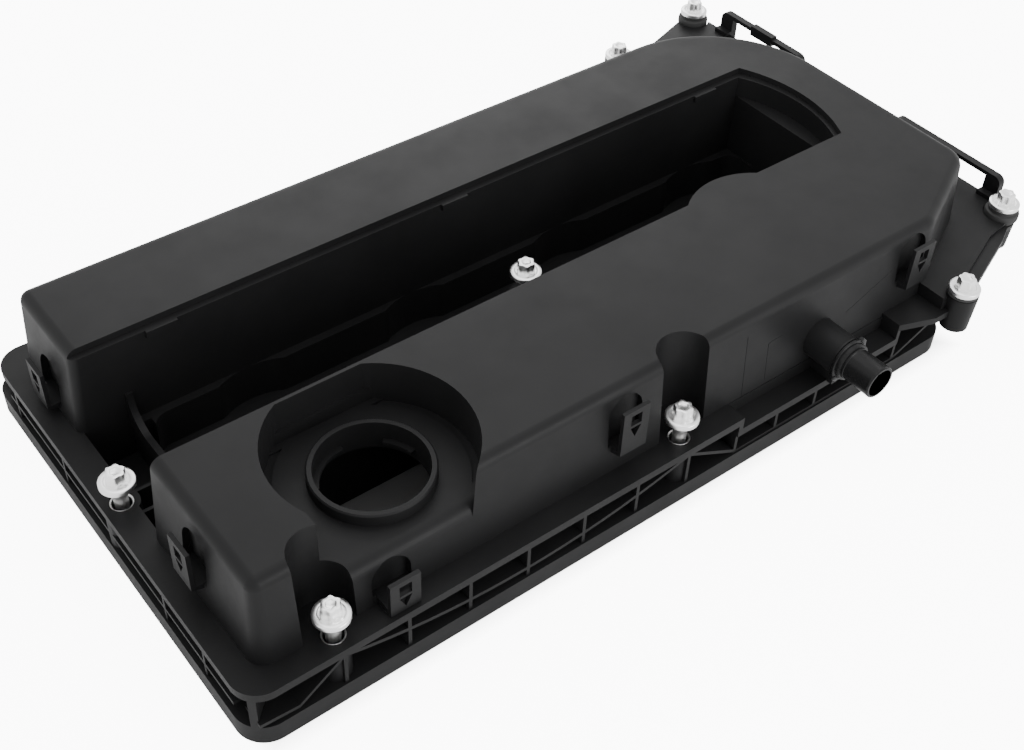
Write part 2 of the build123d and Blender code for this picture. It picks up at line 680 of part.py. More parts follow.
def guide_loop(start, end, padded):
    """Low arch on the far edge of the deck, over the end of a camshaft."""
    x0 = DECK_FAR
    x1 = DECK_FAR + LOOP_DEPTH
    foot = DECK_TOP - DECK_PLATE
    corners = [(start, foot), (end, foot), (end, LOOP_TOP), (start, LOOP_TOP)]
    face = Plane.YZ.offset(x0) * outline(corners, [SMALL, SMALL, LOOP_ROUND, LOOP_ROUND])
    loop = extrude(face, amount=LOOP_DEPTH, dir=(1, 0, 0))
    loop -= block(x0, x1, start + LOOP_POST, end - LOOP_POST, foot, LOOP_TOP - LOOP_BAR)
    for y in (start, end - LOOP_POST):
        loop += block(x0 - LOOP_DEPTH, x1, y, y + LOOP_POST, foot, DECK_TOP + LOOP_BAR)
    if padded:
        middle = (start + end) / 2
        top = LOOP_TOP + LOOP_BAR / 2
        loop += block(x0, x1, middle - LOOP_PAD / 2, middle + LOOP_PAD / 2, LOOP_TOP - 2 * LOOP_BAR, top)
    return loop


def clip(height):
    """Snap-in holder: a windowed tongue that stands off the wall and joins it at the foot."""
    outer = -CLIP_STANDOFF - CLIP_PLATE
    half = CLIP_WIDTH / 2
    plate = block(-half, half, outer, -CLIP_STANDOFF, 0, height)
    window = CLIP_WINDOW / 2
    top = height - CLIP_BORDER
    plate -= block(-window, window, outer, 0, top - CLIP_WINDOW, top)
    notch_top = top - CLIP_WINDOW - CLIP_BORDER / 2
    notch = Polyline(
        (-window, outer, notch_top), (window, outer, notch_top),
        (0, outer, notch_top - CLIP_NOTCH), (-window, outer, notch_top))
    plate -= extrude(make_face(notch), amount=2 * CLIP_PLATE, dir=(0, 1, 0))
    root = NICHE_DEPTH + 1
    wedge = Polyline(
        (-half, root, -CLIP_STANDOFF), (-half, outer, 0), (-half, outer, CLIP_PLATE),
        (-half, root, CLIP_FOOT), (-half, root, -CLIP_STANDOFF))
    return plate + extrude(make_face(wedge), amount=CLIP_WIDTH, dir=(1, 0, 0))


def niche(height, grow):
    """Arched recess behind a clip, with its back NICHE_DEPTH inside the foot of the wall."""
    half = CLIP_WIDTH / 2 + NICHE_SIDE + grow
    centre = height + NICHE_SIDE + grow - half
    depth = NICHE_DEPTH + grow
    arch = pipe_along_y(0, centre, half, -2 * BOX_FRONT, depth)
    arch += block(-half, half, -2 * BOX_FRONT, depth, -grow, centre)
    if grow:
        return arch
    slope = Polyline((-half, 0, 0), (-half, depth, 0), (-half, depth, CLIP_FOOT), (-half, 0, 0))
    return arch - extrude(make_face(slope), amount=2 * half, dir=(1, 0, 0))


def clip_places():
    """Place and height of each clip, standing on the drafted walls."""
    places = []
    for x, z, height, reach in FRONT_CLIPS:
        y = BOX_FRONT + DRAFT_SLOPE * (z - FLANGE_BOTTOM)
        places.append((Pos(x, y, z), height, reach))
    for y, z, height in NEAR_CLIPS:
        x = BOX_NEAR + DRAFT_SLOPE * (z - FLANGE_BOTTOM)
        places.append((Pos(x, y, z) * Rot(0, 0, -90), height, 0))
    return places


def niches(grow):
    """All the recesses behind the clips."""
    found = Part()
    for place, height, reach in clip_places():
        found += place * niche(height, grow)
    return found


def wall_clips():
    """The clips where they stand on the walls."""
    found = Part()
    half = CLIP_WIDTH / 2
    for place, height, reach in clip_places():
        found += place * Pos(0, -reach, 0) * clip(height)
        if reach:
            found += place * block(-half, half, -reach, NICHE_DEPTH + 1, 0, CLIP_BORDER)
    return found


def bolt_bosses():
    """Posts that carry the sleeves of the low bolts."""
    posts = Part()
    for name, (x, y) in {**RAIL_BOLTS, **SLOT_BOLTS}.items():
        slim = name.endswith(("near", "middle"))
        radius = SLEEVE_RADIUS + SLIM_BOSS_WALL if slim else BOSS_RADIUS
        posts += post(x, y, radius, GASKET_PROUD, FLANGE_TOP)
    return posts


def bolt_holes():
    """Holes for the sleeves."""
    holes = Part()
    places = [*RAIL_BOLTS.values(), *SLOT_BOLTS.values(), *SHOULDER_BOLTS.values(), *TIMING_BOLTS.values()]
    for x, y in places:
        holes += plain_post(x, y, SLEEVE_RADIUS, -1, TIMING_SEAT)
    return holes


def breather_socket():
    """Round socket on the front wall that takes the breather spigot."""
    inner = BOX_FRONT + WALL + EDGE_SETBACK / 2
    socket = pipe_along_y(BREATHER_X, BREATHER_Z, SOCKET_RADIUS, SOCKET_END, inner)
    low = BREATHER_Z - SOCKET_RADIUS
    web = block(BREATHER_X - RIB, BREATHER_X + RIB, SOCKET_END + COLLAR_WIDTH, inner, LOW_FLANGE_TOP - 1, low + 1)
    return socket + web


def breather_bore():
    """Seat of the spigot, then the passage through the wall."""
    seat = pipe_along_y(BREATHER_X, BREATHER_Z, SPIGOT_ROOT, SOCKET_END - 1, SPIGOT_SEAT)
    return seat + pipe_along_y(BREATHER_X, BREATHER_Z, BREATHER_BORE, SOCKET_END, BOX_FRONT + 3 * WALL)


def labyrinth(y0, y1):
    """Cross walls under the roof that carry a baffle and turn the oil mist."""
    walls = Part()
    count = int((BAFFLE_END - BAFFLE_START) / BAFFLE_RIB_STEP)
    for i in range(count):
        x = BAFFLE_START + BAFFLE_RIB_STEP * (i + 0.6)
        walls += block(x - RIB / 2, x + RIB / 2, y0, y1, BAFFLE_TOP, BOX_TOP - WALL + 1)
    for x in (BAFFLE_START, BAFFLE_END):
        walls += block(x - RIB / 2, x + RIB / 2, y0, y1, BAFFLE_TOP, BOX_TOP - WALL + 1)
    return walls


def baffle(y0, y1):
    """Baffle plate with drain slots, welded under the labyrinth."""
    fit = BAFFLE_FIT
    plate = block(BAFFLE_START - RIB, BAFFLE_END + RIB, y0 + fit, y1 - fit, BAFFLE_TOP - BAFFLE_PLATE, BAFFLE_TOP)
    for x, y, radius, side in bays():
        plate -= bay_cut(x, y, radius, side, WALL + fit, 0)
    middle = (y0 + y1) / 2
    for x in (BAFFLE_START + BAFFLE_RIB_STEP / 2, BAFFLE_END - BAFFLE_RIB_STEP / 2):
        drain = Pos(x, middle) * SlotOverall(DRAIN_LENGTH, DRAIN_WIDTH)
        plate -= slab(drain, 0, BAFFLE_TOP + 1)
    return plate


FRONT_CHAMBER = (BOX_FRONT + WALL + DRAFT_SLOPE * (BAFFLE_TOP - HIGH_FOOT), SLOT_FRONT - WALL)
BACK_CHAMBER = (SLOT_BACK + RIM_WIDTH, BOX_BACK - WALL - DRAFT_SLOPE * (BAFFLE_TOP - HIGH_FOOT))


def cover_housing():
    """The whole moulding."""
    outside = box_outside()
    for x, y, radius, side in bays():
        outside -= bay_cut(x, y, radius, side, 0, FLANGE_TOP)
    outside -= pocket_shape() + niches(0)
    outside += slab(lower_plan(0), GASKET_PROUD, FLANGE_TOP)
    outside += flange() + deck()
    inside = hollow()
    walls = labyrinth(FRONT_CHAMBER[0] - 1, FRONT_CHAMBER[1] + 1)
    walls += labyrinth(BACK_CHAMBER[0] - 1, BACK_CHAMBER[1] + 1)
    body = outside - (inside - walls) + deck_floor()
    body -= slot_cut()
    body -= mouth_cut()
    body += end_fin()
    body -= core_hollow()
    body += rail() + edge_ribs() + bolt_bosses()
    body += filler_neck() + wall_clips() + breather_socket()
    body -= pad_groove()
    body += guide_loop(LOOP_FRONT_START, LOOP_FRONT_END, False)
    body += guide_loop(LOOP_BACK_START, LOOP_BACK_END, True)
    body -= filler_bore()
    body -= breather_bore()
    body -= bolt_holes()
    for x, y in WELLS:
        body -= post(x, y, WELL_BORE, 0, TROUGH_FLOOR + 1)
    body -= rim_seal(0, GASKET_HEIGHT)
    body -= well_seal(0, GASKET_HEIGHT / 2)
    return body


def star(radius, depth, points):
    """Flat outline of a head with as many lobes as points."""
    corners = []
    for i in range(2 * points):
        reach = radius - depth * (i % 2)
        angle = radians(180 / points * i)
        corners.append((reach * cos(angle), reach * sin(angle)))
    return make_face(Polyline(*corners, close=True))


def bolt(length):
    """Flanged bolt with a lobed head and a shank of some length, standing on its seat at the origin."""
    washer = plain_post(0, 0, WASHER_RADIUS, 0, WASHER_HEIGHT)
    head = slab(star(HEAD_RADIUS, LOBE_DEPTH, HEAD_LOBES), WASHER_HEIGHT, WASHER_HEIGHT + HEAD_HEIGHT)
    return washer + head + plain_post(0, 0, BOLT_RADIUS, -length, 1)


def sleeve(x, y, low, high):
    """Metal sleeve that takes the clamping force."""
    return plain_post(x, y, SLEEVE_RADIUS, low, high) - plain_post(x, y, SLEEVE_BORE, low, high)


def grommet(x, y, seat, height):
    """Rubber ring under the head of a high bolt; a tall one is wider below than at its top."""
    low = seat - height
    ring = plain_post(x, y, WASHER_RADIUS, low, seat)
    if height > 2 * GROMMET_LEVEL:
        ring += plain_post(x, y, GROMMET_RADIUS, low + GROMMET_LIP, seat - GROMMET_LEVEL)
    return ring - plain_post(x, y, SLEEVE_RADIUS, low, seat)


def breather_spigot():
    """Hose spigot with its collar, pressed into the socket."""
    x, z = BREATHER_X, BREATHER_Z
    neck = SOCKET_END - 2 * COLLAR_WIDTH
    pipe = pipe_along_y(x, z, BREATHER_RADIUS, BREATHER_END, neck)
    pipe += pipe_along_y(x, z, SPIGOT_ROOT, neck, SPIGOT_SEAT)
    pipe += pipe_along_y(x, z, COLLAR_RADIUS, SOCKET_END - COLLAR_WIDTH, SOCKET_END)
    pipe += pipe_along_y(x, z, (BREATHER_RADIUS + COLLAR_RADIUS) / 2, neck, SOCKET_END)
    return pipe - pipe_along_y(x, z, BREATHER_BORE, BREATHER_END - 1, SPIGOT_SEAT + 1)


def build_pieces():
    """Every piece by name, still in layout coordinates."""
    pieces = {
        "cover_housing": cover_housing(),
        "rim_seal": rim_seal(0, GASKET_HEIGHT),
        "well_seal": well_seal(0, GASKET_HEIGHT / 2),
        "front_baffle": baffle(*FRONT_CHAMBER),
        "back_baffle": baffle(*BACK_CHAMBER),
        "breather_spigot": breather_spigot(),
    }
    master = bolt(SHANK_LENGTH)
    for name, (x, y) in {**RAIL_BOLTS, **SLOT_BOLTS}.items():
        pieces[f"{name}_bolt"] = Pos(x, y, SHANK_LENGTH) * master
        pieces[f"{name}_sleeve"] = sleeve(x, y, GASKET_PROUD, FLANGE_TOP)
    for name, (x, y) in {**SHOULDER_BOLTS, **TIMING_BOLTS}.items():
        seat, height = SHOULDER_SEAT, SHOULDER_GROMMET
        if name in TIMING_BOLTS:
            seat, height = TIMING_SEAT, TIMING_GROMMET
        pieces[f"{name}_bolt"] = Pos(x, y, seat) * bolt(seat - HIGH_SHANK_END)
        pieces[f"{name}_sleeve"] = sleeve(x, y, HIGH_BOSS_FOOT, seat)
        pieces[f"{name}_grommet"] = grommet(x, y, seat, height)
    return pieces


pieces = build_pieces()
whole = Compound(list(pieces.values())).bounding_box()
home = Pos(-whole.center().X, -whole.center().Y, -whole.min.Z)
os.makedirs("parts", exist_ok=True)
for name, shape in pieces.items():
    export_step(home * shape, f"parts/{name}.step")
print("origin in layout", whole.center().X, whole.center().Y, whole.min.Z)
print("size", whole.size.X, whole.size.Y, whole.size.Z)
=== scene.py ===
"""Studio picture of a moulded engine valve cover with its seals, bolts and hose spigot."""

import bpy
from math import atan2, cos, radians, sin, tan
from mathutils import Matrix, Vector


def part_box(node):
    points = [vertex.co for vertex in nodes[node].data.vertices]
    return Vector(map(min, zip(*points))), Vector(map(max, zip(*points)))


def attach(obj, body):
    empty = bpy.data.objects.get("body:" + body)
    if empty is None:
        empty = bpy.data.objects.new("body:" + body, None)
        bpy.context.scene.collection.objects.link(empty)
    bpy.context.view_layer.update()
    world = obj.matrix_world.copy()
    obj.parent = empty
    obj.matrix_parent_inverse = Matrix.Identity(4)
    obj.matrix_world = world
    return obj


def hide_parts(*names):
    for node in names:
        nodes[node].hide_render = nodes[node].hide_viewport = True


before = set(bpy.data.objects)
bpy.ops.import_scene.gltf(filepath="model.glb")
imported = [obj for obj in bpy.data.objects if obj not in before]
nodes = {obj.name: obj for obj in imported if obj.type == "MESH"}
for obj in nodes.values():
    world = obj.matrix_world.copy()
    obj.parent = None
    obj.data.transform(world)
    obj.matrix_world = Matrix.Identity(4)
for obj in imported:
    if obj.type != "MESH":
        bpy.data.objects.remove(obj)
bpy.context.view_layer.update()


# Camera

CAMERA_PLACE = (-0.32966, -0.38166, 0.45937)
CAMERA_TURN = (46.1731, -1.8583, -37.5062)
CAMERA_LENS = 50.13
SENSOR_WIDTH = 36.0
NEAREST_SEEN = 0.02
FARTHEST_SEEN = 20.0


def place_camera():
    """Camera above the open corner of the cover, turned a little about its own axis."""
    bpy.ops.object.camera_add(location=CAMERA_PLACE, rotation=[radians(turn) for turn in CAMERA_TURN])
    camera = bpy.context.object
    camera.name = "studio_camera"
    camera.data.lens = CAMERA_LENS
    camera.data.sensor_width = SENSOR_WIDTH
    camera.data.clip_start = NEAREST_SEEN
    camera.data.clip_end = FARTHEST_SEEN
    bpy.context.scene.camera = camera


# Helpers for modelling

ROUND_SIDES = 48
FINE_SIDES = 64
SMOOTH_ANGLE = 32
HARD_ANGLE = 38
SMALL_PART_ANGLE = 40
FLAT_ANGLE = 1.0
FACE_WEIGHT = 80
MERGE_GAP = 0.000002
LEVEL_GAP = 0.00001


def only(piece):
    """Select one piece and nothing else, in object mode."""
    if bpy.context.mode != "OBJECT":
        bpy.ops.object.mode_set(mode="OBJECT")
    bpy.ops.object.select_all(action="DESELECT")
    piece.select_set(True)
    bpy.context.view_layer.objects.active = piece


def apply_bevel(piece, width, segments, angle):
    """Round the hard edges of a piece."""
    only(piece)
    rounding = piece.modifiers.new("rounding", "BEVEL")
    rounding.width = width
    rounding.segments = segments
    rounding.limit_method = "ANGLE"
    rounding.angle_limit = radians(angle)
    rounding.harden_normals = False
    bpy.ops.object.modifier_apply(modifier=rounding.name)


def smooth(piece, angle=SMOOTH_ANGLE):
    """Smooth shading across everything but hard edges."""
    only(piece)
    bpy.ops.object.shade_smooth_by_angle(angle=radians(angle))


def level_shading(piece):
    """Shade wide faces flat and let only their rounded edges turn the light."""
    only(piece)
    weight = piece.modifiers.new("level", "WEIGHTED_NORMAL")
    weight.keep_sharp = True
    weight.weight = FACE_WEIGHT
    bpy.ops.object.modifier_apply(modifier=weight.name)


def finish_piece(piece, name, body, finish, slot_name, *replaced):
    """Name a piece, give it its material and let it ride on its body."""
    piece.name = name
    piece.data.name = name
    only(piece)
    bpy.ops.object.transform_apply(location=True, rotation=True, scale=True)
    piece.data.materials.clear()
    piece.data.materials.append(finish)
    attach(piece, body)
    if replaced:
        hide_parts(*replaced)
    return piece


def joined_copy(node):
    """Copy of a solid with its flat faces joined up."""
    mesh = nodes[node].data.copy()
    piece = bpy.data.objects.new(node + "_skin", mesh)
    bpy.context.scene.collection.objects.link(piece)
    only(piece)
    bpy.ops.object.mode_set(mode="EDIT")
    bpy.ops.mesh.select_all(action="SELECT")
    bpy.ops.mesh.remove_doubles(threshold=MERGE_GAP)
    bpy.ops.mesh.dissolve_limited(angle_limit=radians(FLAT_ANGLE))
    bpy.ops.object.mode_set(mode="OBJECT")
    return piece


def soften(piece, edge):
    """Soften the hard edges of a moulding and keep its wide faces flat in the light."""
    apply_bevel(piece, edge, 2, HARD_ANGLE)
    smooth(piece)
    level_shading(piece)
    return piece


def combine(piece, tool, operation="DIFFERENCE"):
    """Take the room of a tool out of a piece, or add it, and drop the tool."""
    only(piece)
    change = piece.modifiers.new("change", "BOOLEAN")
    change.operation = operation
    change.solver = "EXACT"
    change.object = tool
    bpy.ops.object.modifier_apply(modifier=change.name)
    bpy.data.objects.remove(tool)


def add_block(low, high):
    """Block between two corners, with its place in its mesh."""
    bpy.ops.object.select_all(action="DESELECT")
    middle = [(a + b) / 2 for a, b in zip(low, high)]
    bpy.ops.mesh.primitive_cube_add(size=1.0, location=middle, scale=[b - a for a, b in zip(low, high)])
    bpy.ops.object.transform_apply(location=True, rotation=True, scale=True)
    return bpy.context.object


def add_drum(radius, low, high, sides=ROUND_SIDES, capped=True):
    """Upright drum round the origin, with its place in its mesh."""
    bpy.ops.object.select_all(action="DESELECT")
    bpy.ops.mesh.primitive_cylinder_add(
        vertices=sides, radius=radius, depth=high - low, location=(0.0, 0.0, (low + high) / 2),
        end_fill_type="NGON" if capped else "NOTHING")
    drum = bpy.context.object
    bpy.ops.object.transform_apply(location=True, rotation=True, scale=True)
    return drum


def pick(piece, kind, test):
    """Open a piece in edit mode with only the points, edges or faces that pass a test."""
    only(piece)
    mesh = piece.data
    for group in (mesh.vertices, mesh.edges, mesh.polygons):
        for item in group:
            item.select = False
    for point in mesh.vertices if kind == "POINT" else ():
        point.select = test(point.co)
    for edge in mesh.edges if kind == "EDGE" else ():
        edge.select = test(*[mesh.vertices[index].co for index in edge.vertices])
    for face in mesh.polygons if kind == "FACE" else ():
        face.select = test(face.center, face.normal)
    bpy.context.tool_settings.mesh_select_mode = (kind == "POINT", kind == "EDGE", kind == "FACE")
    bpy.ops.object.mode_set(mode="EDIT")


def close_edit():
    """Go back to object mode."""
    bpy.ops.object.mode_set(mode="OBJECT")


def faces_up(centre, normal):
    """Test for the faces that look up."""
    return normal.z > 0.9


def faces_down(centre, normal):
    """Test for the faces that look down."""
    return normal.z < -0.9


def draw_down(depth, widen=1.0):
    """Pull the selected face down and make its ring wider or narrower."""
    bpy.ops.mesh.extrude_region_move(TRANSFORM_OT_translate={"value": (0.0, 0.0, -depth)})
    if widen != 1.0:
        bpy.ops.transform.resize(value=(widen, widen, 1.0), center_override=(0.0, 0.0, 0.0))


def turned_wall(rings, sides=ROUND_SIDES):
    """Open turned wall through rings of radius and level, from the lowest up."""
    (first, low), (second, next_level) = rings[:2]
    wall = add_drum(first, low, next_level, sides, capped=False)
    pick(wall, "POINT", lambda point: point.z > (low + next_level) / 2)
    bpy.ops.transform.resize(value=(second / first, second / first, 1.0), center_override=(0.0, 0.0, 0.0))
    radius, level = second, next_level
    for next_radius, higher in rings[2:]:
        top = level - LEVEL_GAP
        pick(wall, "EDGE", lambda one, other: min(one.z, other.z) > top)
        bpy.ops.mesh.extrude_edges_move(TRANSFORM_OT_translate={"value": (0.0, 0.0, higher - level)})
        widen = next_radius / radius
        bpy.ops.transform.resize(value=(widen, widen, 1.0), center_override=(0.0, 0.0, 0.0))
        radius, level = next_radius, higher
    close_edit()
    return wall


def give_wall(piece, thickness):
    """Give a shell a wall on its inner side."""
    only(piece)
    wall = piece.modifiers.new("wall", "SOLIDIFY")
    wall.thickness = thickness
    wall.offset = -1.0
    bpy.ops.object.modifier_apply(modifier=wall.name)


def copy_to(piece, place):
    """Copy of a finished piece with its own mesh, moved to a place."""
    twin = bpy.data.objects.new(piece.name + "_copy", piece.data.copy())
    bpy.context.scene.collection.objects.link(twin)
    twin.location = place
    return twin


def join_to(piece, *others):
    """Join other pieces to one piece."""
    only(piece)
    for other in others:
        other.select_set(True)
    bpy.ops.object.join()
    return piece


# Bolts, sleeves and grommets

WASHER_RADIUS = 0.0074
WASHER_HEIGHT = 0.0024
HEAD_RADIUS = 0.0046
HEAD_HEIGHT = 0.0049
HEAD_ROOT = 0.0009
HEAD_SIDES = 24
LOBE_TURN = 60
LOBE_VALLEYS = ((0.5, 0.80), (0.25, 0.91), (0.75, 0.91))
HEAD_SHOULDER = 0.0004
HEAD_TAPER = 0.90
DISHED_TOP = ((0.97, 0.00025), (0.90, 0.00015), (0.62, 0.0), (0.9, -0.0003))
SHANK_RADIUS = 0.0030
THREAD_PITCH = 0.0010
THREAD_CORE = 0.87
PLAIN_SHANK = 0.0140
WASHER_RIM = 0.0007
WASHER_STEPS = ((0.00010, 0.00030), (0.00030, 0.00025), (0.00165, 0.00015), (0.00030, -0.00045), (0.00100, 0.00010))
WASHER_LIP = 0.0004
UNDERCUT = 0.0006
TIP_LENGTH = 0.0010
TIP_TAPER = 0.72
BOLT_EDGE = 0.00012
SLEEVE_RADIUS = 0.0049
SLEEVE_MOUTH = 0.00465
SLEEVE_RIM = 0.0003
SLEEVE_WALL = 0.00075
SLEEVE_EDGE = 0.0001
RUBBER_WALL = 0.0019
FLAT_GROMMET = 0.004
FLAT_FOOT = ((0.0070, 0.0), (0.0074, 0.0004))
FLAT_HEAD = ((0.0074, 0.0004), (0.0070, 0.0))
BEAD_FOOT = ((0.0068, 0.0), (0.0072, 0.0004), (0.0073, 0.0014), (0.0082, 0.0018), (0.0084, 0.0026))
BEAD_HEAD = ((0.0084, 0.0032), (0.0081, 0.0024), (0.0071, 0.0019), (0.0070, 0.0008), (0.0073, 0.0004), (0.0071, 0.0))


def lobed_head():
    """Six lobed drive of a bolt with tapered flutes and a dished top, standing on its washer."""
    top = WASHER_HEIGHT + HEAD_HEIGHT - HEAD_SHOULDER
    head = add_drum(HEAD_RADIUS, WASHER_HEIGHT - HEAD_ROOT, top, HEAD_SIDES)
    for phase, shrink in LOBE_VALLEYS:
        pick(head, "POINT", lambda point: abs((atan2(point.y, point.x) / radians(LOBE_TURN)) % 1.0 - phase) < 0.05)
        bpy.ops.transform.resize(value=(shrink, shrink, 1.0), center_override=(0.0, 0.0, 0.0))
    pick(head, "POINT", lambda point: point.z > top - HEAD_SHOULDER)
    bpy.ops.transform.resize(value=(HEAD_TAPER, HEAD_TAPER, 1.0), center_override=(0.0, 0.0, 0.0))
    pick(head, "FACE", faces_up)
    for widen, lift in DISHED_TOP:
        bpy.ops.mesh.extrude_region_move(TRANSFORM_OT_translate={"value": (0.0, 0.0, lift)})
        bpy.ops.transform.resize(value=(widen, widen, 1.0), center_override=(0.0, 0.0, 0.0))
    close_edit()
    return head


def flanged_bolt(length):
    """Bolt of a shank length: dished washer, lobed head and cut thread, with its seat at the origin."""
    bolt = add_drum(WASHER_RADIUS, 0.0, WASHER_HEIGHT - WASHER_RIM, FINE_SIDES)
    pick(bolt, "FACE", faces_up)
    for inward, lift in WASHER_STEPS:
        bpy.ops.mesh.inset(thickness=inward, depth=0.0)
        bpy.ops.transform.translate(value=(0.0, 0.0, lift))
    close_edit()
    pick(bolt, "FACE", faces_down)
    bpy.ops.mesh.inset(thickness=WASHER_LIP, depth=0.0)
    bpy.ops.mesh.inset(thickness=WASHER_RADIUS - SHANK_RADIUS - WASHER_LIP, depth=0.0)
    turns = int((length - PLAIN_SHANK) / THREAD_PITCH)
    draw_down(UNDERCUT)
    draw_down(length - turns * THREAD_PITCH - UNDERCUT - TIP_LENGTH)
    for turn in range(turns):
        draw_down(THREAD_PITCH / 2, THREAD_CORE)
        draw_down(THREAD_PITCH / 2, 1 / THREAD_CORE)
    draw_down(TIP_LENGTH, TIP_TAPER)
    close_edit()
    join_to(bolt, lobed_head())
    apply_bevel(bolt, BOLT_EDGE, 1, 50)
    smooth(bolt, SMALL_PART_ANGLE)
    return bolt


def round_sleeve(height):
    """Sleeve of a height with softened rims, standing at the origin."""
    sleeve = turned_wall([
        (SLEEVE_MOUTH, 0.0), (SLEEVE_RADIUS, SLEEVE_RIM),
        (SLEEVE_RADIUS, height - SLEEVE_RIM), (SLEEVE_MOUTH, height)])
    give_wall(sleeve, SLEEVE_WALL)
    apply_bevel(sleeve, SLEEVE_EDGE, 1, SMALL_PART_ANGLE)
    return sleeve


def ring_grommet(height):
    """Rubber ring under a head, with a thick bead round a tall one."""
    foot, head = (BEAD_FOOT, BEAD_HEAD) if height > FLAT_GROMMET else (FLAT_FOOT, FLAT_HEAD)
    grommet = turned_wall([*foot, *[(radius, height - drop) for radius, drop in head]])
    give_wall(grommet, RUBBER_WALL)
    return grommet


def fit_fasteners():
    """Put a detailed bolt, sleeve and grommet in the place of each plain one."""
    masters = {}
    for name in sorted(nodes):
        kind = name.rsplit("_", 1)[-1]
        if kind not in ("bolt", "sleeve", "grommet"):
            continue
        low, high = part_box(name)
        place = ((low[0] + high[0]) / 2, (low[1] + high[1]) / 2)
        if kind == "bolt":
            length = round(high[2] - low[2] - WASHER_HEIGHT - HEAD_HEIGHT, 4)
            if length not in masters:
                masters[length] = flanged_bolt(length)
            piece = copy_to(masters[length], (*place, low[2] + length))
            finish_piece(piece, name + "_steel", name, zinc, "bolt_steel", name)
            continue
        make, finish, slot_name = {
            "sleeve": (round_sleeve, sleeve_steel, "sleeve_steel"),
            "grommet": (ring_grommet, grommet_rubber, "grommet_rubber")}[kind]
        piece = make(high[2] - low[2])
        smooth(piece, SMALL_PART_ANGLE)
        piece.location = (*place, low[2])
        finish_piece(piece, name + "_round", "cover", finish, slot_name, name)
    for master in masters.values():
        bpy.data.objects.remove(master)


# Breather spigot

SPIGOT_LENGTH = 0.0345
SPIGOT_ROOT = ((0.0070, 0.0), (0.0072, 0.0003), (0.0072, 0.0136), (0.0088, 0.0138), (0.0088, 0.0143))
SPIGOT_COLLAR = (
    (0.0102, 0.0145), (0.0102, 0.0152), (0.0096, 0.0153), (0.0096, 0.0158), (0.0102, 0.0159),
    (0.0102, 0.0167), (0.0100, 0.0169), (0.0090, 0.0170), (0.0090, 0.0190), (0.0088, 0.0193))
SPIGOT_NOSE = (
    (0.0080, 0.0194), (0.0080, 0.0202), (0.0077, 0.0205), (0.0077, 0.0330), (0.0078, 0.0334),
    (0.0078, 0.0341), (0.0075, SPIGOT_LENGTH))
SPIGOT_BORE = ((0.0062, 0.0), (0.0060, 0.0003), (0.0060, 0.0300), (0.0064, 0.0342), (0.0066, SPIGOT_LENGTH))
LUG_PLACE = (0.0103, 0.0, 0.0160)
LUG_SIZE = (0.0022, 0.0050, 0.0030)
LUG_TAPER = (1.0, 0.75, 0.6)
LUG_EDGE = 0.0004
LUG_ANGLES = (45, 225)


def hose_spigot():
    """Hose spigot with its bore, lips, collar, thin rings and two snap lugs, from its root up."""
    outside = turned_wall([*SPIGOT_ROOT, *SPIGOT_COLLAR, *SPIGOT_NOSE], FINE_SIDES)
    spigot = join_to(outside, turned_wall(SPIGOT_BORE, FINE_SIDES))
    for level in (0.0, SPIGOT_LENGTH):
        pick(spigot, "EDGE", lambda *ends: all(abs(end.z - level) < LEVEL_GAP for end in ends))
        bpy.ops.mesh.bridge_edge_loops()
        close_edit()
    join_to(spigot, *[snap_lug(angle) for angle in LUG_ANGLES])
    pick(spigot, "FACE", lambda centre, normal: True)
    bpy.ops.mesh.normals_make_consistent(inside=False)
    close_edit()
    smooth(spigot, SMALL_PART_ANGLE)
    spigot.rotation_euler = (radians(90), 0.0, 0.0)
    low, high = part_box("breather_spigot")
    spigot.location = ((low[0] + high[0]) / 2, high[1], (low[2] + high[2]) / 2)
    return finish_piece(spigot, "spigot_skin", "cover", gloss_moulding, "moulding", "breather_spigot")


def snap_lug(angle):
    """Tapered snap lug on the collar, at an angle round it."""
    bpy.ops.object.select_all(action="DESELECT")
    bpy.ops.mesh.primitive_cube_add(size=1.0, location=LUG_PLACE, scale=LUG_SIZE)
    lug = bpy.context.object
    bpy.ops.object.transform_apply(location=True, rotation=True, scale=True)
    pick(lug, "FACE", lambda centre, normal: normal.x > 0.9)
    bpy.ops.transform.resize(value=LUG_TAPER)
    close_edit()
    apply_bevel(lug, LUG_EDGE, 3, 30)
    lug.rotation_euler = (0.0, 0.0, radians(angle))
    only(lug)
    bpy.ops.object.transform_apply(location=True, rotation=True, scale=True)
    return lug


# Clips on the walls

CLIP_HALF = 0.00675
CLIP_STANDOFF = 0.0034
NICHE_SIDE = 0.0018
NICHE_DEPTH = 0.0040
CLIP_ROOM = 0.0085
CLIP_SOLE = 0.0012
SLOPED_SOLE = 0.0027
ROOM_MARGIN = 0.0005
CLIPS = (
    (-0.15500, -0.10435, 0.0320, 0, 0.0034),
    (-0.04200, -0.10344, 0.0435, 0, 0.0),
    (0.12800, -0.10317, 0.0470, 0, 0.0),
    (-0.21232, -0.06070, 0.0425, -90, 0.0),
    (-0.21291, 0.06280, 0.0350, -90, 0.0))


def free_clips(housing):
    """Open the room behind each clip down to its sole, so that it stands on a thin foot."""
    for x, y, z, turn, reach in CLIPS:
        front = -CLIP_STANDOFF - reach
        sole = SLOPED_SOLE if reach else CLIP_SOLE
        narrow = CLIP_HALF + ROOM_MARGIN
        wide = CLIP_HALF + NICHE_SIDE
        between = add_block((-narrow, front, sole), (narrow, 0.0, CLIP_ROOM))
        inside = add_block((-wide, -ROOM_MARGIN, sole), (wide, NICHE_DEPTH, CLIP_ROOM))
        for room in (between, inside):
            room.rotation_euler = (0.0, 0.0, radians(turn))
            room.location = (x, y, z)
            combine(housing, room)


# Floor of the filler pocket and near corner of the coil slot

